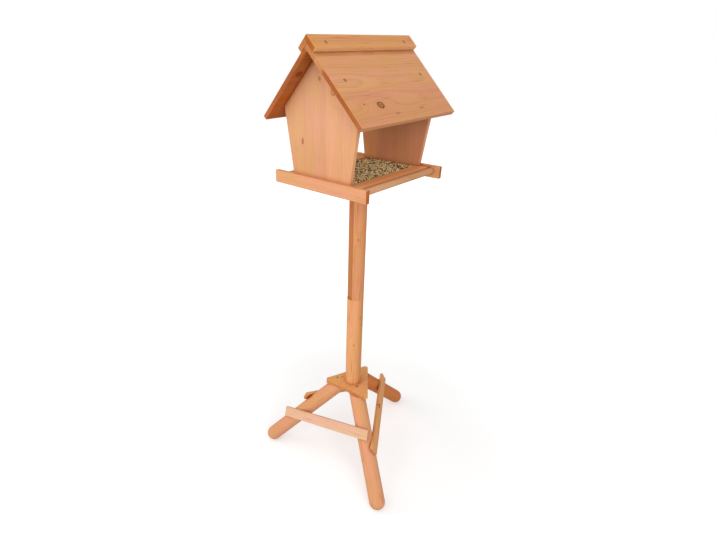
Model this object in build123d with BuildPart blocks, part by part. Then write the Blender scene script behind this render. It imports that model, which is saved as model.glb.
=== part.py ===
from build123d import *
from math import cos, radians, sin, tan
import os

# Free-standing wooden bird feeder: a small gabled house with open front and
# back, on a round pole that a three-legged stand carries. All sizes are in
# millimetres. +Z is up and the ground is at Z = 0, with the pole over the
# origin. The ridge runs along X. The front, with its landing ledge, faces -Y.

# Tripod of round poles with domed ends. The stand was put together by eye,
# so its legs aren't quite 120 degrees apart.
leg_radius = 22.5
leg_tilt = 44.5
foot_reach = 256.0
leg_top_reach = 38.0
leg_right_azimuth = 2.0
leg_left_azimuth = 130.0
leg_front_azimuth = 237.0

# Triangular hub plate that the legs and the pole are screwed to
hub_plate_thickness = 12.0
hub_plate_radius = 90.0
hub_plate_corner_cut = 11.0
hub_plate_turn = 8.6

# Stretcher boards nailed to flats on the legs. Each crosses one leg low and
# the next one high, at these distances down the legs from where they meet,
# and each was nailed on a little off centre, towards its high end by its slide.
stretcher_length = 302.0
stretcher_width = 30.0
stretcher_thickness = 9.0
stretcher_seat_depth = 2.0
left_stretcher_low = 237.0
left_stretcher_high = 174.0
left_stretcher_slide = -6.0
front_stretcher_low = 210.0
front_stretcher_high = 173.0
front_stretcher_slide = 3.0
back_stretcher_low = 232.0
back_stretcher_high = 165.0
back_stretcher_slide = 4.0

# Round pole in two lengths, the upper one with a long planed flat
pole_radius = 22.5
pole_lower_length = 289.0
pole_upper_length = 325.5
pole_flat_depth = 5.0
pole_flat_azimuth = 155.0

# Tray: floor, two side rails, two ledges and two perch rods
rail_height = 28.0
rail_thickness = 12.0
rail_overhang = 30.0
rail_edge_radius = 4.0
tray_inside_length = 263.0
floor_thickness = 8.0
floor_width = 212.0
ledge_width = 32.0
ledge_thickness = 9.0
ledge_drop = 4.0
perch_radius = 7.5
perch_drop = 12.0

# Gable walls, nearly as wide at the eaves as the floor and narrower at the
# foot
wall_thickness = 10.0
wall_eave_inset = 1.0
wall_foot_taper = 22.0
wall_eave_height = 141.0

# Roof panels and ridge boards, the front ones lapping over the back ones
roof_pitch = 44.5
roof_thickness = 10.0
roof_gable_overhang = 32.0
roof_eave_overhang = 33.5
ridge_board_overhang = 1.0
ridge_board_thickness = 10.0
ridge_board_width = 32.0

# Heights and places that follow from the sizes above
legs_meet_height = leg_radius + foot_reach / tan(radians(leg_tilt))
legs_meet = Vector(0, 0, legs_meet_height)
leg_azimuths = {
    "leg_right": leg_right_azimuth,
    "leg_left": leg_left_azimuth,
    "leg_front": leg_front_azimuth,
}
# Each stretcher's low leg, high leg, the distances down them and its slide
stretchers = {
    "stretcher_left": (
        "leg_left",
        "leg_front",
        left_stretcher_low,
        left_stretcher_high,
        left_stretcher_slide,
    ),
    "stretcher_front": (
        "leg_front",
        "leg_right",
        front_stretcher_low,
        front_stretcher_high,
        front_stretcher_slide,
    ),
    "stretcher_back": (
        "leg_right",
        "leg_left",
        back_stretcher_low,
        back_stretcher_high,
        back_stretcher_slide,
    ),
}
hub_plate_bottom = leg_radius + (foot_reach - leg_top_reach) / tan(radians(leg_tilt))
hub_plate_top = hub_plate_bottom + hub_plate_thickness
pole_joint_height = hub_plate_top + pole_lower_length
floor_bottom = pole_joint_height + pole_upper_length
floor_top = floor_bottom + floor_thickness
ledge_top = floor_top + ledge_thickness
rail_top = ledge_top + ledge_drop
rail_length = floor_width + 2 * rail_overhang
wall_outer_x = tray_inside_length / 2
ledge_inner_y = floor_width / 2 - ledge_width
wall_eave_half_width = floor_width / 2 - wall_eave_inset
wall_foot_half_width = wall_eave_half_width - wall_foot_taper
eave_height = ledge_top + wall_eave_height
apex_height = eave_height + wall_eave_half_width * tan(radians(roof_pitch))
roof_length = tray_inside_length + 2 * roof_gable_overhang
roof_eave_reach = wall_eave_half_width + roof_eave_overhang
ridge_board_length = roof_length + 2 * ridge_board_overhang

os.makedirs("parts", exist_ok=True)


def save(part, name):
    """Label a finished piece and write it under its node's name."""
    part.label = name
    export_step(part, "parts/" + name + ".step")


def leg_direction(azimuth):
    """Unit vector down and outwards along a leg's axis."""
    spread = sin(radians(leg_tilt))
    return Vector(spread * cos(radians(azimuth)), spread * sin(radians(azimuth)), -cos(radians(leg_tilt)))


def stretcher_plane(name):
    """Plane of a stretcher's inner face, centred on it with X along the board."""
    low_leg, high_leg, low_distance, high_distance, slide = stretchers[name]
    low_axis = leg_direction(leg_azimuths[low_leg])
    high_axis = leg_direction(leg_azimuths[high_leg])
    outward = high_axis.cross(low_axis).normalized()
    if outward.dot(low_axis + high_axis) < 0 or outward.Z < 0:
        outward = outward * -1
    low_point = legs_meet + low_axis * low_distance
    high_point = legs_meet + high_axis * high_distance
    along = (high_point - low_point).normalized()
    middle = (low_point + high_point) * 0.5 + along * slide
    return Plane(
        origin=middle + outward * (leg_radius - stretcher_seat_depth),
        x_dir=along,
        z_dir=outward,
    )


# Legs: domed at the foot, cut level under the hub plate, with a flat seat
# for each stretcher that crosses them
for leg_name, azimuth in leg_azimuths.items():
    down = leg_direction(azimuth)
    dome_centre = legs_meet + down * (foot_reach / sin(radians(leg_tilt)))
    sideways = Vector(-sin(radians(azimuth)), cos(radians(azimuth)), 0)
    leg_plane = Plane(origin=dome_centre, x_dir=sideways, z_dir=sideways.cross(down * -1))
    leg_length = (legs_meet - dome_centre).length
    with BuildPart() as leg:
        with BuildSketch(leg_plane):
            with BuildLine():
                RadiusArc((0, -leg_radius), (leg_radius, 0), -leg_radius)
                Line((leg_radius, 0), (leg_radius, leg_length))
                Line((leg_radius, leg_length), (0, leg_length))
                Line((0, leg_length), (0, -leg_radius))
            make_face()
        revolve(axis=Axis(dome_centre, down * -1))
        split(bisect_by=Plane.XY.offset(hub_plate_bottom), keep=Keep.BOTTOM)
        for name, crossing in stretchers.items():
            if leg_name in crossing:
                with BuildSketch(stretcher_plane(name)):
                    Rectangle(stretcher_length, stretcher_width)
                extrude(amount=leg_radius, mode=Mode.SUBTRACT)
    save(leg.part, leg_name)

# Hub plate: a triangle with its corners cut off
with BuildPart() as hub_plate:
    with BuildSketch(Plane.XY.offset(hub_plate_bottom)) as hub_outline:
        RegularPolygon(radius=hub_plate_radius, side_count=3, rotation=hub_plate_turn)
        chamfer(hub_outline.vertices(), length=hub_plate_corner_cut)
    extrude(amount=hub_plate_thickness)
save(hub_plate.part, "hub_plate")

# Stretchers: flat boards across the outside of each pair of legs
for name in stretchers:
    with BuildPart() as stretcher:
        with BuildSketch(stretcher_plane(name)):
            Rectangle(stretcher_length, stretcher_width)
        extrude(amount=stretcher_thickness)
    save(stretcher.part, name)

# Pole: the lower length stands on the hub plate
with BuildPart() as pole_lower:
    with BuildSketch(Plane.XY.offset(hub_plate_top)):
        Circle(pole_radius)
    extrude(amount=pole_lower_length)
save(pole_lower.part, "pole_lower")

# The upper length carries the floor, with one side planed flat
flat_plane = Plane(
    origin=(0, 0, pole_joint_height),
    x_dir=(cos(radians(pole_flat_azimuth)), sin(radians(pole_flat_azimuth)), 0),
    z_dir=(0, 0, 1),
)
with BuildPart() as pole_upper:
    with BuildSketch(flat_plane):
        Circle(pole_radius)
        with Locations((pole_radius - pole_flat_depth, 0)):
            Rectangle(pole_radius, 2 * pole_radius, align=(Align.MIN, Align.CENTER), mode=Mode.SUBTRACT)
    extrude(amount=pole_upper_length)
save(pole_upper.part, "pole_upper")

# Floor panel between the rails
with BuildPart() as tray_floor:
    with BuildSketch(Plane.XY.offset(floor_bottom)):
        Rectangle(tray_inside_length, floor_width)
    extrude(amount=floor_thickness)
save(tray_floor.part, "tray_floor")

# Side rails: across the foot of each gable wall, with rounded outer edges
for side, name in ((-1, "side_rail_left"), (1, "side_rail_right")):
    with BuildPart() as side_rail:
        with BuildSketch(Plane.XY.offset(rail_top - rail_height)):
            with Locations((side * (wall_outer_x + rail_thickness / 2), 0)):
                Rectangle(rail_thickness, rail_length)
        extrude(amount=rail_height)
        outer_face = side_rail.faces().sort_by(Axis.X)[-1 if side > 0 else 0]
        fillet(outer_face.edges(), radius=rail_edge_radius)
    save(side_rail.part, name)

# Ledges and perch rods at the front and the back
for side, place in ((-1, "front"), (1, "back")):
    with BuildPart() as ledge:
        with BuildSketch(Plane.XY.offset(floor_top)):
            with Locations((0, side * (ledge_inner_y + ledge_width / 2))):
                Rectangle(tray_inside_length, ledge_width)
        extrude(amount=ledge_thickness)
    save(ledge.part, "ledge_" + place)

    with BuildPart() as perch:
        with BuildSketch(Plane.YZ.offset(-tray_inside_length / 2)):
            with Locations((side * (floor_width / 2 + perch_radius), rail_top - perch_drop)):
                Circle(perch_radius)
        extrude(amount=tray_inside_length)
    save(perch.part, "perch_" + place)

# Gable walls: each stands on the floor between the ledges, with a shoulder
# on both ledges, and widens up to the eaves
for side, name in ((-1, "gable_wall_left"), (1, "gable_wall_right")):
    with BuildPart() as gable_wall:
        with BuildSketch(Plane.YZ.offset(side * wall_outer_x)):
            with BuildLine():
                Polyline(
                    (0, floor_top),
                    (ledge_inner_y, floor_top),
                    (ledge_inner_y, ledge_top),
                    (wall_foot_half_width, ledge_top),
                    (wall_eave_half_width, eave_height),
                    (0, apex_height),
                    (0, floor_top),
                )
            make_face()
            mirror(about=Plane.YZ)
        extrude(amount=-side * wall_thickness)
    save(gable_wall.part, name)


def lapped_pair(base_height, thickness, reach, length, front_name, back_name):
    """Two sloping boards that meet on a ridge, the front one over the back one.

    base_height is where their undersides meet, and reach is how far each
    goes out along Y to the upper corner of its square-cut lower edge.
    """
    slope = radians(roof_pitch)
    top_height = base_height + thickness / cos(slope)
    edge_top = (reach, top_height - reach * tan(slope))
    edge_under = (reach - thickness * sin(slope), edge_top[1] - thickness * cos(slope))
    lap_corner = (thickness / (2 * sin(slope)), base_height + thickness / (2 * cos(slope)))
    front_outline = (
        (0, base_height),
        lap_corner,
        (0, top_height),
        (-edge_top[0], edge_top[1]),
        (-edge_under[0], edge_under[1]),
        (0, base_height),
    )
    back_outline = (
        (0, base_height),
        lap_corner,
        edge_top,
        edge_under,
        (0, base_height),
    )
    for outline, name in ((front_outline, front_name), (back_outline, back_name)):
        with BuildPart() as board:
            with BuildSketch(Plane.YZ):
                with BuildLine():
                    Polyline(*outline)
                make_face()
            extrude(amount=length / 2, both=True)
        save(board.part, name)


# Roof panels rest on the sloping tops of the gable walls
lapped_pair(
    apex_height,
    roof_thickness,
    roof_eave_reach,
    roof_length,
    "roof_panel_front",
    "roof_panel_back",
)

# Ridge boards cover the joint between the roof panels
lapped_pair(
    apex_height + roof_thickness / cos(radians(roof_pitch)),
    ridge_board_thickness,
    ridge_board_width * cos(radians(roof_pitch)),
    ridge_board_length,
    "ridge_board_front",
    "ridge_board_back",
)
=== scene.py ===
"""Looks for a wooden bird feeder on a tripod stand, built around its packed CAD frame."""

import math

import bmesh
import bpy
import numpy as np
from bpy.props import FloatProperty, FloatVectorProperty, IntProperty, PointerProperty
from mathutils import Matrix, Vector


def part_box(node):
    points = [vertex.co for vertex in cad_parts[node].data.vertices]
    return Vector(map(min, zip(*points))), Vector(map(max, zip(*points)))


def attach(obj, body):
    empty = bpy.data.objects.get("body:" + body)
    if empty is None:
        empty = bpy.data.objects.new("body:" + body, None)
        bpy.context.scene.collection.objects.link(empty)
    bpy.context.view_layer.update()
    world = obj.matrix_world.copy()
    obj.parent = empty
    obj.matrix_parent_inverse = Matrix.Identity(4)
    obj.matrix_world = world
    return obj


bl_info = {
    "name": "Wooden bird feeder",
    "version": (1, 0, 0),
    "blender": (4, 5, 0),
    "location": "3D View > Sidebar > Bird feeder",
    "description": "Fir grain, screws, pins and seed for a bird feeder on a tripod stand",
    "category": "Object",
}

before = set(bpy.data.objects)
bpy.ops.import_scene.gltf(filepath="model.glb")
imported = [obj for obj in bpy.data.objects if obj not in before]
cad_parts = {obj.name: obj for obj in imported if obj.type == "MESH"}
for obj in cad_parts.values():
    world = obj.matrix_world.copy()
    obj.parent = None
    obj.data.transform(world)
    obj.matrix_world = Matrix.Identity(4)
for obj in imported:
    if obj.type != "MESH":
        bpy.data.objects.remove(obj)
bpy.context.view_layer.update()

MM = 0.001
X_AXIS = Vector((1, 0, 0))
Y_AXIS = Vector((0, 1, 0))
Z_AXIS = Vector((0, 0, 1))

# The roof's and legs' angles and the pole's planed flat, as the part has them
ROOF_PITCH = math.radians(44.5)
LEG_TILT = math.radians(44.5)
FLAT_AZIMUTH = math.radians(155)
FLAT_REACH = 17.2 * MM
LEG_AZIMUTHS = {
    "leg_right": math.radians(2),
    "leg_left": math.radians(130),
    "leg_front": math.radians(237),
}

# Masks that the fir's grain gives its colour
GRAIN_MASKS = ("Late", "Band", "Fibre", "Dashes", "Blotch")

# How dark a growth ring is from its inner to its outer edge
RING_PROFILE = ((0.0, 0.12), (0.35, 0.0), (0.72, 0.45), (0.9, 1.0), (1.0, 0.12))

# What multiplies the wood's colour in stains and painted shade, in the painted shade of corners,
# in knots and on cut ends
STAIN_AND_PAINTED_SHADE_TINT = (0.62, 0.34, 0.10, 1)
PAINTED_CORNER_SHADE_TINT = (0.56, 0.33, 0.17, 1)
KNOT_TINT = (0.66, 0.46, 0.26, 1)
END_TINT = (0.94, 0.86, 0.76, 1)
END_PORE_TINT = (0.70, 0.52, 0.36, 1)

# Places that follow from the frame
ROOF_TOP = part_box("roof_panel_front")[1].z
RIDGE_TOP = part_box("ridge_board_front")[1].z
WALL_CENTRE_X = sum(corner.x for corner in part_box("gable_wall_right")) / 2
WALL_INNER_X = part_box("gable_wall_right")[0].x
LEDGE_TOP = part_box("ledge_front")[1].z
LEDGE_INNER_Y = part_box("ledge_back")[0].y
FLOOR_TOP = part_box("tray_floor")[1].z
PLATE_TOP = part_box("hub_plate")[1].z

# Height at which the middles of the three legs meet
LEGS_MEET = 0.283


def slope_frame(side):
    """Directions on a roof slope: down it and out of it."""
    down = Vector((0, side * math.cos(ROOF_PITCH), -math.sin(ROOF_PITCH)))
    return down, Vector((0, side * math.sin(ROOF_PITCH), math.cos(ROOF_PITCH)))


def board_frame(node):
    """Directions along, across and out of a straight board's upper face, and its centre."""
    points = np.array([vertex.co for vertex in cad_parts[node].data.vertices])
    points = np.unique(points.round(5), axis=0)
    centre = points.mean(axis=0)
    directions = np.linalg.svd(points - centre, full_matrices=False)[2]
    along, across = Vector(directions[0]), Vector(directions[1])
    if along.cross(across).z < 0:
        across = -across
    return along, across, along.cross(across), Vector(centre)


# Settings


def colour(name, description, default):
    return FloatVectorProperty(
        name=name, description=description, default=default,
        min=0.0, max=1.0, size=3, subtype="COLOR",
    )


def length(name, description, default, top):
    return FloatProperty(
        name=name, description=description, default=default,
        min=0.0, max=top, precision=5, unit="LENGTH", subtype="DISTANCE",
    )


def power(name, description, default):
    return FloatProperty(name=name, description=description, default=default, unit="POWER")


def how_many(name, description, default, top):
    return IntProperty(name=name, description=description, default=default, min=0, max=top)


class FeederWood(bpy.types.PropertyGroup):
    """Colours and grain of the fir"""

    wall_colour: colour("Walls", "Pale peach fir of the gable walls", (0.825, 0.43, 0.235))
    roof_colour: colour("Roof", "Orange fir of the roof panels", (0.755, 0.375, 0.185))
    # Painted light: paler than the ridge's wood; the upper faces are darkened back, so only the
    # lower faces show it
    ridge_colour: colour("Ridge", "Orange fir of the ridge boards", (0.90, 0.49, 0.25))
    tray_colour: colour("Tray", "Fir of the left rail", (0.775, 0.375, 0.187))
    perch_colour: colour("Perches", "Paler fir of the perch rods", (0.74, 0.405, 0.22))
    ledge_colour: colour("Ledges", "Redder fir of the ledges and floor", (0.95, 0.43, 0.165))
    pole_colour: colour("Pole", "Fir of the round pole and the right rail", (0.87, 0.415, 0.193))
    leg_colour: colour("Legs", "Fir of the legs", (0.88, 0.42, 0.22))
    # One leg's colour: partly redder wood, and partly painted shade, darker for the shade that leg
    # stands in
    painted_shade_leg_colour: colour("Right leg", "Darker, redder fir of one leg", (0.65, 0.20, 0.052))
    stretcher_colour: colour("Stretchers", "Orange fir of two stretchers", (0.92, 0.445, 0.195))
    plate_colour: colour("Hub plate", "Orange-brown fir of the hub plate", (0.82, 0.40, 0.147))
    pale_colour: colour("Pale board", "Pinkish fir of the palest stretcher", (0.91, 0.56, 0.365))
    knot_colour: colour("Knots", "Dark ring of the knots", (0.16, 0.045, 0.009))
    ring_spacing: length("Ring spacing", "Distance between growth rings", 0.0042, 0.02)
    edge_radius: length("Edge rounding", "Rounding along the cut edges", 0.0009, 0.005)


class FeederHardware(bpy.types.PropertyGroup):
    """Screws and pins"""

    screw_radius: length("Screw head", "Radius of a countersunk screw head", 0.0038, 0.01)
    pin_radius: length("Pin head", "Radius of a panel pin's head", 0.0011, 0.005)
    screw_colour: colour("Screws", "Browned steel of the screws", (0.25, 0.13, 0.055))
    pin_colour: colour("Pins", "Bright steel of the pins", (0.42, 0.37, 0.31))


class FeederSeed(bpy.types.PropertyGroup):
    """Seed in the tray"""

    depth: length("Depth", "How far the seed lies below the ledges", 0.0022, 0.01)
    grain_count: how_many("Grains", "Oval grains", 2100, 6000)
    husk_count: how_many("Husks", "Dark striped seeds", 90, 2000)
    grain_colour: colour("Grain", "Pale tan grains", (1.0, 0.81, 0.44))
    # Colour of the dark husks, and also of the seed bed, where it stands as painted shade between
    # the grains
    husk_and_gap_shade_colour: colour("Husk", "Dark brown husks", (0.085, 0.048, 0.018))


class FeederStage(bpy.types.PropertyGroup):
    """Floor, lamps and camera"""

    floor_colour: colour("Floor", "Plain pale floor", (0.74, 0.74, 0.74))
    key_power: power("Key", "Lamp on the left", 19.0)
    top_power: power("Top", "Lamp above", 7.0)
    fill_power: power("Fill", "Lamp by the camera", 40.0)
    rear_power: power("Rear", "Lamp behind, on the left", 24.0)
    world_strength: FloatProperty(name="World", description="Light from all round", default=0.5)


# Node building


class Nodes:
    """Adds nodes to one tree, and sets or links their inputs as it goes."""

    def __init__(self, tree):
        self.tree = tree

    def add(self, kind, inputs=None, **settings):
        node = self.tree.nodes.new("ShaderNode" + kind)
        node.location = (190 * len(self.tree.nodes), 0)
        for name, value in settings.items():
            setattr(node, name, value)
        for name, value in (inputs or {}).items():
            self.feed(node.inputs[name], value)
        return node

    def feed(self, socket, value):
        if isinstance(value, bpy.types.NodeSocket):
            self.tree.links.new(value, socket)
        else:
            socket.default_value = value

    def math(self, operation, first, second=0.0):
        return self.add("Math", {0: first, 1: second}, operation=operation).outputs[0]

    def plus(self, first, second):
        return self.math("ADD", first, second)

    def minus(self, first, second):
        return self.math("SUBTRACT", first, second)

    def times(self, first, second):
        return self.math("MULTIPLY", first, second)

    def over(self, first, second):
        return self.math("DIVIDE", first, second)

    def vector(self, operation, first, second=(0, 0, 0)):
        node = self.add("VectorMath", {0: first, 1: second}, operation=operation)
        return node.outputs["Value" if operation in ("LENGTH", "DOT_PRODUCT") else "Vector"]

    def mix(self, factor, first, second, blend="MIX"):
        inputs = {0: factor, 6: first, 7: second}
        node = self.add("Mix", inputs, data_type="RGBA", blend_type=blend, clamp_factor=True)
        return node.outputs[2]

    def tinted(self, factor, shade, tint):
        return self.mix(factor, shade, tint, "MULTIPLY")

    def noise(self, vector, scale, detail=2.0, roughness=0.5):
        inputs = {"Vector": vector, "Scale": scale, "Detail": detail, "Roughness": roughness}
        return self.add("TexNoise", inputs).outputs["Fac"]

    def line_noise(self, value, scale, detail=1.0):
        """Noise that changes with one value."""
        inputs = {"W": value, "Scale": scale, "Detail": detail}
        return self.add("TexNoise", inputs, noise_dimensions="1D").outputs

    def remap(self, value, low, high, to_low=0.0, to_high=1.0, smooth=False):
        limits = {"From Min": low, "From Max": high, "To Min": to_low, "To Max": to_high}
        course = "SMOOTHSTEP" if smooth else "LINEAR"
        node = self.add("MapRange", {"Value": value, **limits}, interpolation_type=course)
        return node.outputs["Result"]

    def ramp(self, factor, stops):
        node = self.add("ValToRGB", {"Fac": factor})
        elements = node.color_ramp.elements
        while len(elements) < len(stops):
            elements.new(0.5)
        for element, (position, value) in zip(elements, stops):
            element.position = position
            element.color = (value, value, value, 1)
        return node.outputs["Color"]

    def group(self, name, inputs):
        return self.add("Group", inputs, node_tree=bpy.data.node_groups[name]).outputs


def new_group(name, inputs, outputs):
    """An empty shader group: (its Nodes, its inputs, what gives a value to an output).

    An input's kind follows from its default, and an output's from its name.
    """
    tree = bpy.data.node_groups.new(name, "ShaderNodeTree")
    for label, default in inputs.items():
        kind = {1: "Float", 3: "Vector", 4: "Color"}[np.size(default)]
        socket = tree.interface.new_socket(label, in_out="INPUT", socket_type="NodeSocket" + kind)
        socket.default_value = default
    for label in outputs:
        kind = label if label in ("Vector", "Color") else "Float"
        tree.interface.new_socket(label, in_out="OUTPUT", socket_type="NodeSocket" + kind)
    given = tree.nodes.new("NodeGroupInput")
    result = tree.nodes.new("NodeGroupOutput")
    nodes = Nodes(tree)

    def give(label, value):
        nodes.feed(result.inputs[label], value)

    return nodes, given.outputs, give


def make_glued_boards():
    """Splits a panel across the grain into glued boards, each cut from its own place."""
    nodes, given, give = new_group(
        "glued_boards",
        {"Vector": (0, 0, 0), "Board Width": 1.0, "Shift": 0.5, "Seed": 0.0},
        ("Vector", "Tone", "Warmth", "Joint"),
    )
    parts = nodes.add("SeparateXYZ", {0: given["Vector"]}).outputs
    place = nodes.over(nodes.plus(parts["Y"], given["Shift"]), given["Board Width"])
    number = nodes.math("FLOOR", place)
    within = nodes.minus(nodes.minus(place, number), 0.5)
    offset = nodes.times(given["Seed"], 17.37)
    draw = nodes.add("TexWhiteNoise", {"W": nodes.plus(number, offset)}, noise_dimensions="1D")
    chances = nodes.add("SeparateColor", {0: draw.outputs["Color"]}).outputs
    moved_within = nodes.plus(within, nodes.minus(chances["Green"], 0.5))
    across = nodes.times(moved_within, given["Board Width"])
    along = nodes.plus(parts["X"], nodes.times(chances["Red"], 4.0))
    moved = nodes.add("CombineXYZ", {"X": along, "Y": across, "Z": parts["Z"]}).outputs[0]
    give("Vector", moved)
    give("Tone", chances["Red"])
    give("Warmth", chances["Blue"])
    to_edge = nodes.minus(0.5, nodes.math("ABSOLUTE", within))
    to_edge = nodes.times(to_edge, given["Board Width"])
    give("Joint", nodes.remap(to_edge, 0.0, 0.5 * MM, 1.0, 0.0))


def make_knot():
    """Adds one knot to a chain: it bends the growth rings round it."""
    nodes, given, give = new_group(
        "knot",
        {
            "Vector": (0, 0, 0), "Bend": 0.0, "Core": 0.0, "Rim": 0.0, "Centre": (0, 0, 0),
            "Radius": 0.005, "Stretch": 1.35, "Darkness": 1.0, "Round": 0.0,
        },
        ("Bend", "Core", "Rim"),
    )
    away = nodes.vector("SUBTRACT", given["Vector"], given["Centre"])
    parts = nodes.add("SeparateXYZ", {0: away}).outputs
    depth = nodes.times(parts["Z"], given["Round"])

    def distance(along):
        point = nodes.add("CombineXYZ", {"X": along, "Y": parts["Y"], "Z": depth}).outputs[0]
        return nodes.over(nodes.vector("LENGTH", point), given["Radius"])

    ragged = nodes.times(nodes.noise(given["Vector"], 230.0, 2.0), 0.5)
    near = nodes.plus(distance(nodes.over(parts["X"], given["Stretch"])), ragged)
    wide = nodes.times(distance(nodes.times(parts["X"], 0.38)), 0.42)
    swell = nodes.math("EXPONENT", nodes.times(nodes.times(wide, wide), -1.0))
    push = nodes.times(swell, nodes.times(given["Radius"], 1.5))
    give("Bend", nodes.plus(given["Bend"], push))
    body = nodes.remap(near, 1.1, 1.4, 0.85, 0.0, smooth=True)
    rings = nodes.times(nodes.math("SINE", nodes.times(near, 21.0)), body)
    core = nodes.plus(body, nodes.times(rings, 0.18))
    core = nodes.times(core, given["Darkness"])
    give("Core", nodes.math("MAXIMUM", given["Core"], core))
    rim = nodes.over(nodes.math("ABSOLUTE", nodes.minus(near, 1.12)), 0.32)
    heart = nodes.remap(near, 0.36, 0.62, 0.75, 0.0, smooth=True)
    rim = nodes.math("MAXIMUM", nodes.remap(rim, 0.0, 1.0, 1.0, 0.0, smooth=True), heart)
    rim = nodes.times(rim, given["Darkness"])
    give("Rim", nodes.math("MAXIMUM", given["Rim"], rim))


def make_fir_grain():
    """Growth rings round a wandering pith, with fibre streaks and short resin dashes."""
    nodes, given, give = new_group(
        "fir_grain",
        {
            "Vector": (0, 0, 0), "Bend": 0.0,
            "Ring Spacing": 0.004, "Pith Depth": 0.04, "Wander": 0.03,
        },
        GRAIN_MASKS,
    )
    parts = nodes.add("SeparateXYZ", {0: given["Vector"]}).outputs
    drifts = nodes.add("SeparateColor", {0: nodes.line_noise(parts["X"], 3.1)["Color"]}).outputs

    def wandered(axis, channel, extra):
        move = nodes.times(nodes.minus(drifts[channel], 0.5), given["Wander"])
        return nodes.plus(nodes.plus(parts[axis], extra), move)

    def drawn_out(share, scale, detail, roughness=0.5):
        """Noise drawn out along the grain."""
        place = nodes.vector("MULTIPLY", given["Vector"], (share, 1, 1))
        return nodes.noise(place, scale, detail, roughness)

    sideways, deep = wandered("Y", "Red", 0.0), wandered("Z", "Green", given["Pith Depth"])
    radial = nodes.add("CombineXYZ", {"X": 0.0, "Y": sideways, "Z": deep}).outputs[0]
    radius = nodes.plus(nodes.vector("LENGTH", radial), given["Bend"])
    waver = nodes.minus(drawn_out(0.13, 48.0, 2.0), 0.5)
    radius = nodes.plus(radius, nodes.times(waver, 2.6 * MM))
    uneven = nodes.line_noise(radius, 150.0)["Fac"]
    phase = nodes.plus(nodes.over(radius, given["Ring Spacing"]), nodes.times(uneven, 1.6))
    late = nodes.ramp(nodes.math("FRACT", phase), RING_PROFILE)
    strong = nodes.line_noise(radius, 48.0)["Fac"]
    give("Late", nodes.times(late, nodes.remap(strong, 0.3, 0.75, 0.35, 1.0)))
    band = nodes.line_noise(radius, 27.0, 2.0)["Fac"]
    give("Band", nodes.remap(band, 0.3, 0.7))
    give("Fibre", drawn_out(0.016, 950.0, 3.0, 0.6))
    dash = drawn_out(0.035, 360.0, 1.0)
    where = drawn_out(0.4, 26.0, 1.0)
    dash = nodes.plus(dash, nodes.remap(where, 0.3, 0.7, -0.09, 0.09))
    give("Dashes", nodes.remap(dash, 0.64, 0.76, smooth=True))
    cloud = drawn_out(0.3, 32.0, 3.0, 0.55)
    give("Blotch", nodes.remap(cloud, 0.35, 0.65))


def make_corner_wear():
    """Mask of the corners, where handling has paled and smoothed the wood."""
    nodes, given, give = new_group("corner_wear", {"Radius": 0.0015}, ("Wear",))
    surface = nodes.add("NewGeometry").outputs["Normal"]
    rounded = nodes.add("Bevel", {"Radius": given["Radius"]}, samples=4).outputs["Normal"]
    sharp = nodes.vector("DOT_PRODUCT", surface, rounded)
    give("Wear", nodes.remap(sharp, 0.985, 0.86, 0.0, 1.0))


def make_painted_corner_shade():
    """Mask of painted shade, darker where pieces meet and in corners, read from ambient occlusion.
    """
    nodes, given, give = new_group("painted_corner_shade", {"Distance": 0.014}, ("Shelter",))
    occlusion = nodes.add("AmbientOcclusion", {"Distance": given["Distance"]}, samples=8)
    give("Shelter", nodes.remap(occlusion.outputs["AO"], 0.88, 0.25, 0.0, 0.85))


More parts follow.
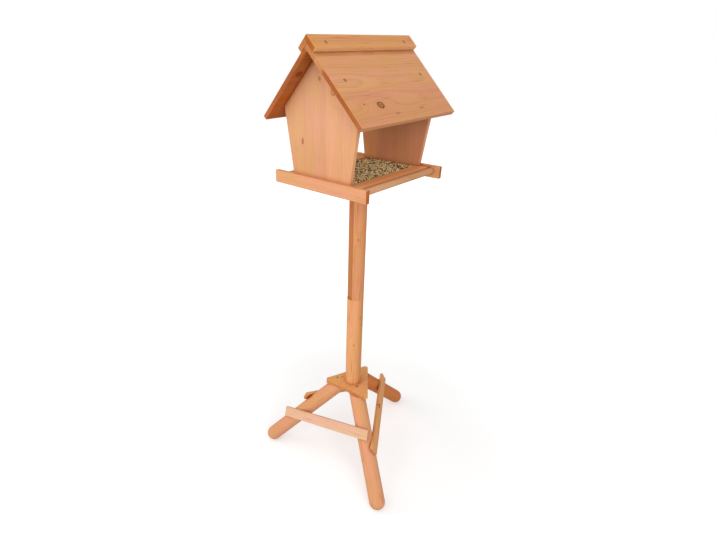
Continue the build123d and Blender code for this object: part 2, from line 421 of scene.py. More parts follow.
def make_fir_colour():
    """Turns the grain's masks into the fir's colour, roughness and relief."""
    nodes, given, give = new_group(
        "fir_colour",
        {
            "Light": (1, 1, 1, 1), "Dark": (0.5, 0.3, 0.2, 1), "Knot": (0.1, 0.05, 0.03, 1),
            "Grain Strength": 1.0, "Streaks": 0.8, "Late": 0.0, "Band": 0.5, "Fibre": 0.5,
            "Dashes": 0.0, "Blotch": 0.5, "Stain": 0.0, "Tone": 0.5, "Warmth": 0.5,
            "Joint": 0.0, "Core": 0.0, "Rim": 0.0, "Wear": 0.0, "Shelter": 0.0,
            "Along": (1, 0, 0),
        },
        ("Color", "Roughness", "Height"),
    )

    def total(**shares):
        """Sum of the masks that are named, each times its share."""
        whole = 0.0
        for name, share in shares.items():
            whole = nodes.plus(whole, nodes.times(given[name], share))
        return whole

    depth = nodes.times(total(Late=0.46, Band=0.34), given["Grain Strength"])
    depth = nodes.plus(depth, nodes.times(given["Dashes"], given["Streaks"]))
    shade = nodes.mix(depth, given["Light"], given["Dark"])
    # Real stains together with painted shade and painted light laid on as stains
    shade = nodes.tinted(given["Stain"], shade, STAIN_AND_PAINTED_SHADE_TINT)
    tone = nodes.remap(given["Tone"], 0.0, 1.0, 0.88, 1.08)
    streak = nodes.remap(given["Fibre"], 0.25, 0.75, 0.91, 1.07)
    level = nodes.times(tone, streak)
    warmth = total(Warmth=0.6, Blotch=1.0)
    ranges = {"Red": (0.96, 1.04), "Green": (1.03, 0.96), "Blue": (0.78, 1.16)}
    channels = {
        name: nodes.times(level, nodes.remap(warmth, 0.0, 1.6, *ends))
        for name, ends in ranges.items()
    }
    tint = nodes.add("CombineColor", channels).outputs[0]
    shade = nodes.tinted(1.0, shade, tint)
    shade = nodes.mix(nodes.times(given["Wear"], 0.3), shade, given["Light"])
    shade = nodes.mix(nodes.times(given["Joint"], 0.45), shade, given["Dark"])
    # Painted shade: darker in corners and where pieces meet
    shade = nodes.tinted(given["Shelter"], shade, PAINTED_CORNER_SHADE_TINT)
    shade = nodes.tinted(given["Core"], shade, KNOT_TINT)
    shade = nodes.mix(given["Rim"], shade, given["Knot"])
    surface = nodes.add("NewGeometry").outputs["Normal"]
    facing = nodes.vector("DOT_PRODUCT", surface, given["Along"])
    end = nodes.remap(nodes.math("ABSOLUTE", facing), 0.75, 0.95, smooth=True)
    pores = nodes.noise(nodes.add("TexCoord").outputs["Object"], 1100.0, 2.0, 0.6)
    rings = nodes.times(given["Late"], 0.75)
    pores = nodes.plus(nodes.remap(pores, 0.3, 0.7, 0.05, 0.5), rings)
    cut = nodes.mix(pores, END_TINT, END_PORE_TINT)
    ends = nodes.tinted(1.0, shade, cut)
    give("Color", nodes.mix(end, shade, ends))
    rough = nodes.remap(given["Fibre"], 0.2, 0.8, 0.5, 0.62)
    rough = nodes.plus(rough, nodes.times(end, 0.15))
    give("Roughness", nodes.minus(rough, nodes.times(given["Core"], 0.12)))
    give("Height", total(Late=0.5, Fibre=0.5, Dashes=-0.4, Joint=-0.8, Core=0.5))


def make_groups():
    """Builds the shared groups once."""
    if "fir_colour" not in bpy.data.node_groups:
        make_glued_boards()
        make_knot()
        make_fir_grain()
        make_corner_wear()
        make_painted_corner_shade()
        make_fir_colour()


def deeper(shade, share=(0.70, 0.56, 0.40)):
    """The late wood's colour for a board of this colour."""
    return tuple(value * part for value, part in zip(shade, share))


def new_material(name):
    """A material: (itself, its Nodes, what gives a value to its Principled shader)."""
    material = bpy.data.materials.new(name)
    material.use_nodes = True
    nodes = Nodes(material.node_tree)
    shader = material.node_tree.nodes["Principled BSDF"]

    def give(label, value):
        nodes.feed(shader.inputs[label], value)

    return material, nodes, give


def fir(
    name, shade, along, across, origin=(0, 0, 0), board=1.0, shift=0.5, seed=0.0, pith=0.045,
    wander=0.014, strength=1.0, streaks=0.7, reach=16 * MM, knots=(), rounded=0.0, stains=(),
):
    """A fir material whose grain runs along the first direction and across the second.

    Each knot is (along, across, depth, radius, stretch, darkness) in the
    grain's own frame, in metres. Each stain, and each patch of painted shade or
    painted light laid on the same way, is an amount and the limits that hold it,
    each of them (coordinate, direction, from, to): the wood deepens as that
    texture coordinate goes from one value to the other.
    """
    make_groups()
    wood = bpy.context.scene.feeder_wood
    material, nodes, give = new_material(name)
    turn = Matrix([along, across, along.cross(across)]).transposed()
    coordinates = nodes.add("TexCoord").outputs
    place = nodes.add(
        "Mapping",
        {"Vector": coordinates["Object"], "Location": origin, "Rotation": turn.to_euler()},
        vector_type="TEXTURE",
    ).outputs[0]
    boards = nodes.group(
        "glued_boards", {"Vector": place, "Board Width": board, "Shift": shift, "Seed": seed}
    )
    chain = {"Bend": 0.0, "Core": 0.0, "Rim": 0.0}
    for x, y, z, *measures in knots:
        measures = dict(zip(("Radius", "Stretch", "Darkness"), measures))
        spot = {"Vector": place, "Centre": (x, y, z), "Round": rounded}
        found = nodes.group("knot", {**spot, **measures, **chain})
        chain = {key: found[key] for key in chain}
    grain = nodes.group(
        "fir_grain",
        {
            "Vector": boards["Vector"], "Bend": chain["Bend"],
            "Ring Spacing": wood.ring_spacing, "Pith Depth": pith, "Wander": wander,
        },
    )
    wear = nodes.group("corner_wear", {"Radius": 1.6 * MM})
    # Painted shade of corners and meeting pieces, as far as the reach given
    painted_corner_shade = nodes.group("painted_corner_shade", {"Distance": reach})
    darkened = 0.0
    for share, *limits in stains:
        for coordinate, direction, low, high in limits:
            along_it = nodes.vector("DOT_PRODUCT", coordinates[coordinate], direction)
            share = nodes.times(share, nodes.remap(along_it, low, high))
        darkened = nodes.plus(darkened, share)
    finish = nodes.group(
        "fir_colour",
        {
            "Light": (*shade, 1), "Dark": (*deeper(shade), 1), "Knot": (*wood.knot_colour, 1),
            "Grain Strength": strength, "Streaks": streaks, "Stain": darkened, "Along": along,
            "Core": chain["Core"], "Rim": chain["Rim"], "Wear": wear["Wear"],
            "Shelter": painted_corner_shade["Shelter"],
            **{key: boards[key] for key in ("Tone", "Warmth", "Joint")},
            **{key: grain[key] for key in GRAIN_MASKS},
        },
    )
    give("Base Color", finish["Color"])
    give("Roughness", finish["Roughness"])
    bump = nodes.add("Bump", {"Height": finish["Height"], "Strength": 0.5, "Distance": 0.25 * MM})
    give("Normal", bump.outputs["Normal"])
    give("Specular IOR Level", 0.12)
    return material


def dress(node, *placing, **grain):
    """Covers a CAD node in fir of its own, as fir's settings say, and softens its edges."""
    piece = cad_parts[node]
    material = fir(node + "_fir", *placing, **grain)
    if not piece.material_slots:
        piece.data.materials.append(material)
    for slot in piece.material_slots:
        slot.material = material
    radius = bpy.context.scene.feeder_wood.edge_radius
    if radius > 0:
        weld = piece.modifiers.new("join_faces", "WELD")
        weld.merge_threshold = 0.01 * MM
        rounding = piece.modifiers.new("soft_edges", "BEVEL")
        rounding.width = radius
        rounding.segments = 2
        rounding.limit_method = "ANGLE"
        rounding.angle_limit = math.radians(35)
        smooth = piece.modifiers.new("even_shading", "WEIGHTED_NORMAL")
        smooth.keep_sharp = False


def new_piece(name, mesh, material, smooth=True):
    """Links a new piece that rides on the feeder."""
    mesh.materials.append(material)
    mesh.polygons.foreach_set("use_smooth", [smooth] * len(mesh.polygons))
    mesh.update()
    piece = bpy.data.objects.new(name, mesh)
    bpy.context.scene.collection.objects.link(piece)
    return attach(piece, "root")


# Wood


class FEEDER_OT_roof(bpy.types.Operator):
    """Finish the roof panels and ridge boards in glued fir"""

    bl_idname = "feeder.roof"
    bl_label = "Finish the roof"

    def execute(self, context):
        wood = context.scene.feeder_wood
        start = -math.sin(ROOF_PITCH) * ROOF_TOP
        near_end = ("Normal", X_AXIS, -0.7, -0.9)
        front_knots = (
            (-0.0716, 0.1509, 0, 0.0078, 1.25, 1.0),
            (-0.1174, 0.1443, 0, 0.0020, 1.3, 0.75),
            (0.052, 0.171, 0, 0.0014, 5.0, 0.6),
            (-0.036, 0.1745, 0, 0.0016, 5.0, 0.6),
        )
        back_knots = (
            (0.092, 0.062, 0, 0.0065, 1.3, 1.0),
            (-0.147, 0.066, 0, 0.0060, 1.3, 1.0),
            (-0.030, 0.148, 0, 0.0040, 1.4, 0.8),
        )
        for side, place, knots, seed, edge_start, ridge_seed, ridge_stain in (
            (-1, "front", front_knots, 3.0, 0.056, 5.0, 1.0),
            (1, "back", back_knots, 8.0, 0.0, 6.0, 0.6),
        ):
            down, out = slope_frame(side)
            beneath = ("Normal", out, -0.5, -0.8)

            def between(first, last):
                """Limits from one distance down the slope to another."""
                return "Object", down, start + first, start + last

            dress(
                "roof_panel_" + place, wood.roof_colour, X_AXIS, down, (0, 0, ROOF_TOP),
                board=0.081, shift=0.049, seed=seed, knots=knots, streaks=0.45,
                stains=(
                    # Painted shade: the panels' undersides darker, more so towards the eaves
                    (0.85, beneath),
                    (0.5, beneath, between(0.13, 0.19)),
                    (0.8, near_end, between(edge_start, edge_start + 0.01), between(0.30, 0.12)),
                    (0.12, between(0.108, 0.128)),
                    (0.10, between(0.038, 0.030)),
                ),
            )
            dress(
                "ridge_board_" + place, wood.ridge_colour, X_AXIS, down, (0, 0, RIDGE_TOP),
                seed=ridge_seed, pith=0.02, reach=3 * MM,
                # The second stain is painted light: upper faces darkened back so the paler lower
                # faces read as lit
                stains=((ridge_stain, near_end), (0.47, ("Normal", out, 0.5, 0.8))),
            )
        return {"FINISHED"}


class FEEDER_OT_gables(bpy.types.Operator):
    """Finish the gable walls in upright glued boards"""

    bl_idname = "feeder.gables"
    bl_label = "Finish the gable walls"

    def execute(self, context):
        wood = context.scene.feeder_wood
        left_knots = (
            (0.963, 0.0516, 0, 0.0028, 2.2, 0.85),
            (1.0855, -0.0009, 0, 0.0030, 1.2, 0.6),
            (1.0642, -0.0369, 0, 0.0062, 1.2, 0.45),
        )
        right_knots = ((1.052, 0.012, 0, 0.0060, 1.2, 0.9), (0.985, -0.018, 0, 0.0024, 4.0, 0.35))
        for side, name, knots, seed in (
            (-1, "gable_wall_left", left_knots, 1.0),
            (1, "gable_wall_right", right_knots, 2.0),
        ):
            inner = ("Normal", X_AXIS * side, -0.5, -0.8)
            dress(
                name, wood.wall_colour, Z_AXIS, Y_AXIS, (side * WALL_CENTRE_X, 0, 0),
                board=0.063, shift=0.081, seed=seed, strength=0.6, streaks=0.2, knots=knots,
                stains=(
                    # Painted shade inside the house: the walls' inner faces darker, more so
                    # towards the back
                    (0.26, inner),
                    (0.16, inner, ("Object", Y_AXIS, -0.06, 0.05)),
                    (0.16, ("Object", Z_AXIS, 1.01, 0.93)),
                ),
            )
        return {"FINISHED"}


class FEEDER_OT_tray(bpy.types.Operator):
    """Finish the floor, rails, ledges and perch rods"""

    bl_idname = "feeder.tray"
    bl_label = "Finish the tray"

    def execute(self, context):
        wood = context.scene.feeder_wood
        flat = (X_AXIS, Y_AXIS)
        dress("tray_floor", wood.ledge_colour, *flat, (0, 0, FLOOR_TOP), board=0.07, seed=11.0)
        for number, place in enumerate(("front", "back")):
            ledge, perch = "ledge_" + place, "perch_" + place
            low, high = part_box(ledge)
            dress(ledge, wood.ledge_colour, *flat, (low + high) / 2, seed=12.0 + number)
            low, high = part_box(perch)
            dress(
                perch, wood.perch_colour, *flat, (low + high) / 2, seed=14.0 + number,
                strength=0.7, stains=((0.22, ("Object", X_AXIS, -0.08, 0.06)),),
            )
        for number, (rail, shade) in enumerate(
            (("side_rail_left", wood.tray_colour), ("side_rail_right", wood.pole_colour))
        ):
            low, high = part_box(rail)
            dress(
                rail, shade, Y_AXIS, Z_AXIS, (low + high) / 2, seed=16.0 + number, pith=0.06,
                strength=0.55, streaks=0.3, reach=7 * MM,
                # Painted shade: the rails' front end faces darker, over the end grain's own darker
                # colour
                stains=((0.75, ("Normal", Y_AXIS, -0.7, -0.9)),),
            )
        return {"FINISHED"}


class FEEDER_OT_pole(bpy.types.Operator):
    """Finish the two lengths of the round pole"""

    bl_idname = "feeder.pole"
    bl_label = "Finish the pole"

    def execute(self, context):
        wood = context.scene.feeder_wood
        flat_side = Vector((math.cos(FLAT_AZIMUTH), math.sin(FLAT_AZIMUTH), 0))
        lower_knots = (
            (0.40, -0.018, -0.014, 0.003, 1.2, 0.3),
            (0.49, -0.004, -0.022, 0.003, 1.3, 0.3),
        )
        upper_knots = ((0.72, -0.016, -0.016, 0.0030, 1.3, 0.35),)
        planed = (0.62, ("Object", flat_side, FLAT_REACH, FLAT_REACH + 0.3 * MM))
        # Painted shade: the pole's side turned this way is darker, as it is shaded
        painted_side_shade = (0.36, ("Normal", Vector((0.69, -0.72, 0)), 0.2, 0.85))
        for name, knots, seed, stains in (
            ("pole_lower", lower_knots, 21.0, (painted_side_shade,)),
            ("pole_upper", upper_knots, 22.0, (planed, painted_side_shade)),
        ):
            dress(
                name, wood.pole_colour, Z_AXIS, X_AXIS, seed=seed, pith=0.012, knots=knots,
                rounded=1.0, strength=0.85, stains=stains,
            )
        return {"FINISHED"}


class FEEDER_OT_stand(bpy.types.Operator):
    """Finish the legs, hub plate and stretchers"""

    bl_idname = "feeder.stand"
    bl_label = "Finish the stand"

    def execute(self, context):
        wood = context.scene.feeder_wood
        spread, drop = math.sin(LEG_TILT), math.cos(LEG_TILT)
        for number, (name, azimuth) in enumerate(LEG_AZIMUTHS.items()):
            x, y = math.cos(azimuth), math.sin(azimuth)
            dress(
                # The right leg is partly redder wood and partly painted shade
                name, wood.painted_shade_leg_colour if name == "leg_right" else wood.leg_colour,
                Vector((spread * x, spread * y, -drop)), Vector((-y, x, 0)), (0, 0, LEGS_MEET),
                seed=31.0 + number, pith=0.012, rounded=1.0, strength=0.8,
            )
        dress(
            "hub_plate", wood.plate_colour, X_AXIS, Y_AXIS, (0, 0, PLATE_TOP), seed=35.0,
            knots=((-0.012, 0.034, 0, 0.0042, 1.4, 0.35),),
        )
        front_knots = ((0.0132, 0.0084, 0, 0.0062, 1.2, 1.0),)
        for seed, name, shade, knots in (
            (37.0, "stretcher_left", wood.pale_colour, ()),
            (38.0, "stretcher_front", wood.stretcher_colour, front_knots),
            (39.0, "stretcher_back", wood.stretcher_colour, ()),
        ):
            along, across, out, centre = board_frame(name)
            dress(
                name, shade, along, across, centre,
                seed=seed, knots=knots, strength=0.9, streaks=0.5,
            )
        return {"FINISHED"}


# Screws and pins

# Sides of the round heads
CIRCLE_STEPS = 24

# The cross recess, in parts of a screw head's radius
CROSS_LONG = 0.56
CROSS_WIDE = 0.15
RECESS_DEPTH = 0.42

# Each screw's x and y on the hub plate, and how far its cross is turned
HUB_SCREWS = ((-23.3 * MM, 42.4 * MM, 0.4), (-14.8 * MM, -28.4 * MM, 1.0), (36 * MM, 12 * MM, 0.1))

# How far down the slope from the ridge the other screws sit
ROOF_SCREWS_DOWN = 0.088
RIDGE_SCREWS_DOWN = 0.019

# The pins' places along a side rail, and how far along and up from a stretcher's middle they are
RAIL_PINS = (-0.095, -0.045, 0.045, 0.095)
STRETCHER_PINS_ALONG = 118 * MM
STRETCHER_PINS_UP = 4.5 * MM


def steel(name, shade, roughness):
    """Metal with a mottled, slightly tarnished surface."""
    material, nodes, give = new_material(name)
    place = nodes.add("TexCoord").outputs["Object"]
    mottle = nodes.noise(place, 900.0, 3.0)
    tarnish = nodes.remap(mottle, 0.35, 0.7)
    give("Base Color", nodes.mix(tarnish, (*shade, 1), (*deeper(shade), 1)))
    give("Roughness", nodes.remap(mottle, 0.3, 0.7, roughness - 0.08, roughness + 0.12))
    give("Metallic", 0.6)
    return material


def ring(mesh, radius, height):
    """One circle of vertices."""
    points = []
    for step in range(CIRCLE_STEPS):
        angle = 2 * math.pi * step / CIRCLE_STEPS
        points.append(mesh.verts.new((radius * math.cos(angle), radius * math.sin(angle), height)))
    return points


def loop_edges(mesh, points):
    return [
        mesh.edges.get((a, b)) or mesh.edges.new((a, b))
        for a, b in zip(points, points[1:] + points[:1])
    ]


def bridge(mesh, upper, lower):
    for a, b, c, d in zip(upper, upper[1:] + upper[:1], lower[1:] + lower[:1], lower):
        mesh.faces.new((d, c, b, a))


def cross_outline(mesh, size, height):
    """Outline of a cross recess."""
    long, wide = size * CROSS_LONG, size * CROSS_WIDE
    quarter = ((long, -wide), (long, wide), (wide, wide))
    points = []
    for turn in range(4):
        cosine, sine = round(math.cos(turn * math.pi / 2)), round(math.sin(turn * math.pi / 2))
        for x, y in quarter:
            points.append(mesh.verts.new((x * cosine - y * sine, x * sine + y * cosine, height)))
    return points


def screw_head(mesh, size):
    """Adds a countersunk head with a cross recess, flush with the wood at height 0."""
    proud = 0.04 * size
    face = ring(mesh, size * 0.93, proud)
    edge = ring(mesh, size, 0.0)
    cone = ring(mesh, size * 0.45, -size * 0.55)
    bridge(mesh, face, edge)
    bridge(mesh, edge, cone)
    mesh.faces.new(cone[::-1])
    mouth = cross_outline(mesh, size, proud)
    bottom = cross_outline(mesh, size * 0.7, proud - size * RECESS_DEPTH)
    edges = loop_edges(mesh, face) + loop_edges(mesh, mouth)
    bmesh.ops.triangle_fill(mesh, edges=edges, use_beauty=True, normal=(0, 0, 1))
    bridge(mesh, bottom, mouth)
    mesh.faces.new(bottom)


def pin_head(mesh, size):
    """Adds a small domed pin head."""
    crown = ring(mesh, size * 0.55, size * 0.30)
    edge = ring(mesh, size, 0.0)
    under = ring(mesh, size * 0.7, -size * 0.35)
    bridge(mesh, crown, edge)
    bridge(mesh, edge, under)
    mesh.faces.new(crown)
    mesh.faces.new(under[::-1])


def seat(point, out, turn=0.0):
    """Matrix that puts a head at a point, facing out, turned about its own axis."""
    return (
        Matrix.Translation(point)
        @ Vector(out).to_track_quat("Z", "Y").to_matrix().to_4x4()
        @ Matrix.Rotation(turn, 4, "Z")
    )


def slope_point(side, x, down, top):
    """A point on the roof's upper face, measured down the slope from the ridge."""
    return Vector((x, 0, top)) + slope_frame(side)[0] * down


def heads_mesh(name, add, places, size):
    """One mesh with a head of this size at each place."""
    mesh = bmesh.new()
    for place in places:
        before = set(mesh.verts)
        add(mesh, size)
        added = [vertex for vertex in mesh.verts if vertex not in before]
        bmesh.ops.transform(mesh, matrix=place, verts=added)
    bmesh.ops.recalc_face_normals(mesh, faces=mesh.faces)
    data = bpy.data.meshes.new(name)
    mesh.to_mesh(data)
    mesh.free()
    return data


class FEEDER_OT_screws(bpy.types.Operator):
    """Drive the countersunk screws through the hub plate, roof and ridge boards"""

    bl_idname = "feeder.screws"
    bl_label = "Add the screws"

    def execute(self, context):
        hardware = context.scene.feeder_hardware
        dark = steel("screw_steel", hardware.screw_colour, 0.5)
        sets = {"hub_screws": [], "roof_screws": [], "ridge_screws": []}
        for x, y, turn in HUB_SCREWS:
            sets["hub_screws"].append(seat((x, y, PLATE_TOP), Z_AXIS, turn))
        for side in (-1, 1):
            out = slope_frame(side)[1]
            for x in (-WALL_CENTRE_X, WALL_CENTRE_X):
                turn = 7 * x + side
                point = slope_point(side, x, ROOF_SCREWS_DOWN, ROOF_TOP)
                sets["roof_screws"].append(seat(point, out, turn))
                point = slope_point(side, x, RIDGE_SCREWS_DOWN, RIDGE_TOP)
                sets["ridge_screws"].append(seat(point, out, turn))
        for name, places in sets.items():
            mesh = heads_mesh(name, screw_head, places, hardware.screw_radius)
            new_piece(name, mesh, dark, smooth=False)
        return {"FINISHED"}


class FEEDER_OT_pins(bpy.types.Operator):
    """Tap in the panel pins along the rails and stretchers"""

    bl_idname = "feeder.pins"
    bl_label = "Add the pins"

    def execute(self, context):
        hardware = context.scene.feeder_hardware
        bright = steel("pin_steel", hardware.pin_colour, 0.4)
        rail_pins = []
        for side, rail in ((-1, "side_rail_left"), (1, "side_rail_right")):
            low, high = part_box(rail)
            x = low.x if side < 0 else high.x
            for y in RAIL_PINS:
                z = (low.z + high.z) / 2 + (2 * MM if y > 0 else -2 * MM)
                rail_pins.append(seat((x, y, z), X_AXIS * side))
        stretcher_pins = []
        for name in ("stretcher_left", "stretcher_front", "stretcher_back"):
            along, across, out, centre = board_frame(name)
            face = centre + out * STRETCHER_PINS_UP
            for end in (-1, 1):
                for step in (-1, 1):
                    point = face + along * (end * STRETCHER_PINS_ALONG + step * 5 * MM)
                    stretcher_pins.append(seat(point + across * step * 6 * MM, out))
        for name, places in (("rail_pins", rail_pins), ("stretcher_pins", stretcher_pins)):
            new_piece(name, heads_mesh(name, pin_head, places, hardware.pin_radius), bright)
        return {"FINISHED"}


# Seed

# Length, width and thickness of the seeds
GRAIN_SIZE = (0.0050, 0.0027, 0.0026)
HUSK_SIZE = (0.0088, 0.0042, 0.0032)


def seed_height(x, y):
    """Height of the seed's uneven surface."""
    swell = (
        0.9 * np.sin(x * 47 + 1.0) * np.cos(y * 61)
        + 0.6 * np.sin(x * 120 + y * 90)
        + 0.4 * np.cos(x * 211 - y * 170 + 2.0)
    )
    return LEDGE_TOP - bpy.context.scene.feeder_seed.depth + swell * 0.6 * MM


def unit_seed(segments, rings, point):
    """Vertices and faces of one seed of unit size, with its two ends drawn out by point."""
    vertices = [(-1.0, 0.0, 0.0)]
    for row in range(1, rings):
        angle = math.pi * row / rings
        thick = math.sin(angle) ** point
        for step in range(segments):
            turn = 2 * math.pi * step / segments
            vertices.append((-math.cos(angle), thick * math.cos(turn), thick * math.sin(turn)))
    vertices.append((1.0, 0.0, 0.0))
    last = len(vertices) - 1
    faces = []
    for step in range(segments):
        after = (step + 1) % segments
        faces.append((0, 1 + after, 1 + step))
        for row in range(rings - 2):
            here, there = 1 + row * segments, 1 + (row + 1) * segments
            faces.append((here + step, here + after, there + after, there + step))
        base = 1 + (rings - 2) * segments
        faces.append((last, base + step, base + after))
    return np.array(vertices), faces


def turned(first, second, angles):
    """Coordinates after each seed's turn in the plane of the two."""
    cosine, sine = np.cos(angles)[:, None], np.sin(angles)[:, None]
    return first * cosine - second * sine, first * sine + second * cosine


def scattered(name, count, sizes, shape, lift, generator):
    """A mesh of many seeds lying on the seed's surface, each turned its own way."""
    vertices, faces = unit_seed(*shape)
    margin = sizes[0] * 0.6
    columns = max(1, round(math.sqrt(count * WALL_INNER_X / LEDGE_INNER_Y)))
    rows = math.ceil(count / columns)
    cells = generator.permutation(columns * rows)[:count]
    x = (cells % columns + generator.uniform(0, 1, count)) / columns * 2 - 1
    y = (cells // columns + generator.uniform(0, 1, count)) / rows * 2 - 1
    x, y = x * (WALL_INNER_X - margin), y * (LEDGE_INNER_Y - margin)
    z = seed_height(x, y) + generator.uniform(-0.5, 0.5, count) * sizes[2] + lift
    heading = generator.uniform(0, 2 * math.pi, count)
    tip = generator.normal(0, 0.45, count)
    size = generator.uniform(0.8, 1.15, (count, 1, 1)) * np.array(sizes) / 2
    local = vertices[None] * size
    forward, upward = turned(local[..., 0], local[..., 2], tip)
    forward, aside = turned(forward, local[..., 1], heading)
    placed = np.stack([x[:, None] + forward, y[:, None] + aside, z[:, None] + upward], axis=-1)
    each = len(vertices)
    everyone = [
        tuple(index + number * each for index in face) for number in range(count) for face in faces
    ]
    mesh = bpy.data.meshes.new(name)
    mesh.from_pydata(placed.reshape(-1, 3).tolist(), [], everyone)
    around = mesh.attributes.new("around", "FLOAT", "POINT")
    angle = np.arctan2(vertices[:, 2], vertices[:, 1])
    around.data.foreach_set("value", np.tile(angle, count).astype(np.float32))
    return mesh


def seed_material(name, shade, pale, stripes):
    """Husk or grain colour that differs from seed to seed, with pale stripes if wanted."""
    material, nodes, give = new_material(name)
    chance = nodes.add("NewGeometry").outputs["Random Per Island"]
    place = nodes.add("TexCoord").outputs["Object"]
    fleck = nodes.noise(place, 1500.0, 2.0)
    body = nodes.mix(nodes.remap(chance, 0.16, 0.26, smooth=True), (*shade, 1), (*pale, 1))
    tan = (*deeper(pale, (0.88, 0.68, 0.48)), 1)
    body = nodes.mix(nodes.remap(chance, 0.72, 0.80, smooth=True), body, tan)
    body = nodes.mix(nodes.remap(fleck, 0.4, 0.75, 0.0, 0.25), body, (*deeper(shade), 1))
    if stripes:
        angle = nodes.add("Attribute", attribute_name="around").outputs["Fac"]
        wave = nodes.math("SINE", nodes.times(angle, 4.0))
        line = nodes.times(nodes.remap(wave, 0.45, 0.9, smooth=True), 0.75)
        body = nodes.mix(line, body, (0.55, 0.43, 0.26, 1))
    give("Base Color", body)
    give("Roughness", nodes.remap(fleck, 0.3, 0.7, 0.45, 0.65))
    bump = nodes.add("Bump", {"Height": fleck, "Strength": 0.4, "Distance": 0.2 * MM})
    give("Normal", bump.outputs["Normal"])
    give("Specular IOR Level", 0.15)
    return material


def seed_bed(name):
    """The lumpy bed under the loose seeds, closed down to the floor, coloured dark as painted
    shade between the grains.
    """
    columns, rows = 96, 60
    x = np.linspace(-WALL_INNER_X, WALL_INNER_X, columns) * 0.9985
    y = np.linspace(-LEDGE_INNER_Y, LEDGE_INNER_Y, rows) * 0.9985
    grid_x, grid_y = np.meshgrid(x, y)
    top = seed_height(grid_x, grid_y) - 1.6 * MM
    low = np.full_like(top, FLOOR_TOP + 0.05 * MM)
    points = [np.stack([grid_x, grid_y, level], -1).reshape(-1, 3) for level in (top, low)]
    under = columns * rows
    faces = []
    for row in range(rows - 1):
        for column in range(columns - 1):
            a = row * columns + column
            faces.append((a, a + 1, a + columns + 1, a + columns))
            faces.append((under + a + columns, under + a + columns + 1, under + a + 1, under + a))
    numbers = np.arange(under).reshape(rows, columns).tolist()
    border = numbers[0] + [row[-1] for row in numbers[1:]]
    border += numbers[-1][-2::-1] + [row[0] for row in numbers[-2:0:-1]]
    for a, b in zip(border, border[1:] + border[:1]):
        faces.append((b, a, under + a, under + b))
    mesh = bpy.data.meshes.new(name)
    mesh.from_pydata(np.concatenate(points).tolist(), [], faces)
    return mesh


class FEEDER_OT_seed(bpy.types.Operator):
    """Fill the tray with mixed seed"""

    bl_idname = "feeder.seed"
    bl_label = "Fill the tray with seed"

    def execute(self, context):
        seed = context.scene.feeder_seed
        generator = np.random.default_rng(41)
        pale = tuple(seed.grain_colour)
        brown = tuple(seed.husk_and_gap_shade_colour)
        # Painted shade: the bed is coloured as dark as the shade between the grains
        painted_gap_shade = seed_material("seed_bed_painted_shade", deeper(brown), brown, False)
        grain = seed_material("grain_skin", deeper(pale, (0.24, 0.17, 0.12)), pale, False)
        husk = seed_material("husk_skin", deeper(brown), brown, True)
        new_piece("seed_bed", seed_bed("seed_bed"), painted_gap_shade)
        for name, skin, number, size, shape, lift in (
            ("seed_grains", grain, seed.grain_count, GRAIN_SIZE, (6, 5, 0.8), 0.0),
            ("seed_husks", husk, seed.husk_count, HUSK_SIZE, (8, 6, 1.0), 0.6 * MM),
        ):
            new_piece(name, scattered(name, number, size, shape, lift, generator), skin)
        return {"FINISHED"}


# Stage

# The photograph's view: place, direction and picture centre of the camera
PICTURE_WIDTH = 716
PICTURE_HEIGHT = 540
CAMERA_PLACE = Vector((-0.83148, -0.67997, 1.13935))
CAMERA_YAW = math.radians(46.048)
CAMERA_PITCH = math.radians(29.829)
CAMERA_ROLL = math.radians(-0.615)
FOCAL_PIXELS = 448.44
CENTRE_COLUMN = 323.45
CENTRE_ROW = 303.74
SENSOR_WIDTH = 36.0

# Glow of the floor near the feet and farther out
FLOOR_GLOW_NEAR = (0.37, 0.37, 0.37, 1)
FLOOR_GLOW_FAR = (0.75, 0.75, 0.75, 1)


def lamp(name, place, aim, size, energy):
    """A square soft lamp."""
    data = bpy.data.lights.new(name, "AREA")
    data.shape = "SQUARE"
    data.size = size
    data.energy = energy
    light = bpy.data.objects.new(name, data)
    light.location = place
    light.rotation_euler = (Vector(aim) - Vector(place)).to_track_quat("-Z", "Y").to_euler()
    bpy.context.scene.collection.objects.link(light)


def photo_camera():
    """The camera that sees the feeder as the photograph does."""
    east, north = math.sin(CAMERA_YAW), math.cos(CAMERA_YAW)
    ahead = math.cos(CAMERA_PITCH)
    forward = Vector((east * ahead, north * ahead, -math.sin(CAMERA_PITCH)))
    level = Vector((north, -east, 0))
    up = level.cross(forward)
    right = level * math.cos(CAMERA_ROLL) + up * math.sin(CAMERA_ROLL)
    top = up * math.cos(CAMERA_ROLL) - level * math.sin(CAMERA_ROLL)
    data = bpy.data.cameras.new("photo_camera")
    data.sensor_fit = "HORIZONTAL"
    data.sensor_width = SENSOR_WIDTH
    data.lens = FOCAL_PIXELS / PICTURE_WIDTH * SENSOR_WIDTH
    data.shift_x = (PICTURE_WIDTH / 2 - CENTRE_COLUMN) / PICTURE_WIDTH
    data.shift_y = (CENTRE_ROW - PICTURE_HEIGHT / 2) / PICTURE_WIDTH
    data.clip_start = 0.02
    data.clip_end = 50.0
    camera = bpy.data.objects.new("photo_camera", data)
    turn = Matrix([right, top, -forward]).transposed()
    camera.matrix_world = Matrix.Translation(CAMERA_PLACE) @ turn.to_4x4()
    bpy.context.scene.collection.objects.link(camera)
    bpy.context.scene.camera = camera


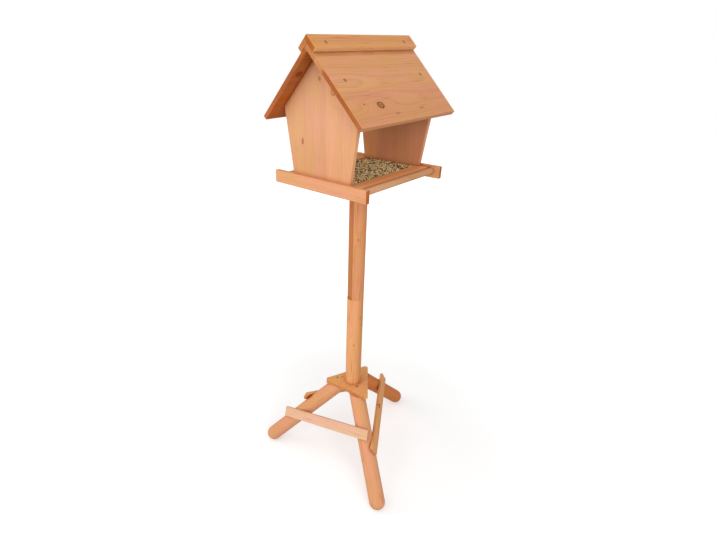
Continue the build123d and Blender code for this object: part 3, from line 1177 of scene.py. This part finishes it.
def stage_floor(shade):
    """Pale floor that keeps the feeder's shadow and meets a white background."""
    size = 6.0
    mesh = bpy.data.meshes.new("stage_floor")
    corners = [(-size, -size, 0), (size, -size, 0), (size, size, 0), (-size, size, 0)]
    mesh.from_pydata(corners, [], [(0, 1, 2, 3)])
    material, nodes, give = new_material("stage_paper")
    give("Base Color", (*shade, 1))
    give("Roughness", 0.9)
    give("Specular IOR Level", 0.1)
    # Only the camera sees this glow. Near the feet it is weak, which leaves their shadow
    away = nodes.vector("LENGTH", nodes.add("TexCoord").outputs["Object"])
    spread = nodes.remap(away, 0.4, 1.1, smooth=True)
    give("Emission Color", nodes.mix(spread, FLOOR_GLOW_NEAR, FLOOR_GLOW_FAR))
    give("Emission Strength", nodes.add("LightPath").outputs["Is Camera Ray"])
    mesh.materials.append(material)
    floor = bpy.data.objects.new("stage_floor", mesh)
    bpy.context.scene.collection.objects.link(floor)


def stage_world(strength):
    """Even grey light all round, and white wherever the camera sees it."""
    world = bpy.data.worlds.new("stage_world")
    world.use_nodes = True
    nodes = Nodes(world.node_tree)
    background = world.node_tree.nodes["Background"]
    paths = nodes.add("LightPath").outputs
    shown = nodes.math("MAXIMUM", paths["Is Camera Ray"], paths["Is Glossy Ray"])
    shown = nodes.math("MAXIMUM", shown, paths["Is Transmission Ray"])
    background.inputs["Color"].default_value = (1, 1, 1, 1)
    nodes.feed(background.inputs["Strength"], nodes.remap(shown, 0.0, 1.0, strength, 1.0))
    bpy.context.scene.world = world


class FEEDER_OT_stage(bpy.types.Operator):
    """Set up the floor, lamps, background and camera"""

    bl_idname = "feeder.stage"
    bl_label = "Set the stage"

    def execute(self, context):
        stage = context.scene.feeder_stage
        stage_floor(stage.floor_colour)
        stage_world(stage.world_strength)
        middle = (0, 0, 0.75)
        lamp("key_lamp", (-2.6, 0.1, 2.1), middle, 1.8, stage.key_power)
        lamp("top_lamp", (-0.3, -0.6, 3.2), middle, 2.4, stage.top_power)
        lamp("fill_lamp", (-1.5, -2.4, 2.0), middle, 2.0, stage.fill_power)
        lamp("rear_lamp", (-1.5, 2.3, 1.4), middle, 1.8, stage.rear_power)
        photo_camera()
        context.scene.view_settings.view_transform = "Standard"
        return {"FINISHED"}


# Panel and registration

SETTINGS = {
    "feeder_wood": FeederWood,
    "feeder_hardware": FeederHardware,
    "feeder_seed": FeederSeed,
    "feeder_stage": FeederStage,
}
OPERATORS = (
    FEEDER_OT_roof,
    FEEDER_OT_gables,
    FEEDER_OT_tray,
    FEEDER_OT_pole,
    FEEDER_OT_stand,
    FEEDER_OT_screws,
    FEEDER_OT_pins,
    FEEDER_OT_seed,
    FEEDER_OT_stage,
)


class FEEDER_PT_panel(bpy.types.Panel):
    """Lists the feeder's settings and steps"""

    bl_idname = "FEEDER_PT_panel"
    bl_label = "Bird feeder"
    bl_space_type = "VIEW_3D"
    bl_region_type = "UI"
    bl_category = "Bird feeder"

    def draw(self, context):
        for name, group in SETTINGS.items():
            box = self.layout.box()
            box.label(text=group.__doc__)
            settings = getattr(context.scene, name)
            for key in group.__annotations__:
                box.prop(settings, key)
        for operator in OPERATORS:
            self.layout.operator(operator.bl_idname)


def register():
    for made in (*SETTINGS.values(), *OPERATORS, FEEDER_PT_panel):
        bpy.utils.register_class(made)
    for name, group in SETTINGS.items():
        setattr(bpy.types.Scene, name, PointerProperty(type=group))


def unregister():
    for name in SETTINGS:
        delattr(bpy.types.Scene, name)
    for made in (FEEDER_PT_panel, *reversed(OPERATORS), *SETTINGS.values()):
        bpy.utils.unregister_class(made)


def main():
    register()
    for operator in OPERATORS:
        family, step = operator.bl_idname.split(".")
        getattr(getattr(bpy.ops, family), step)()


if __name__ == "__main__":
    main()
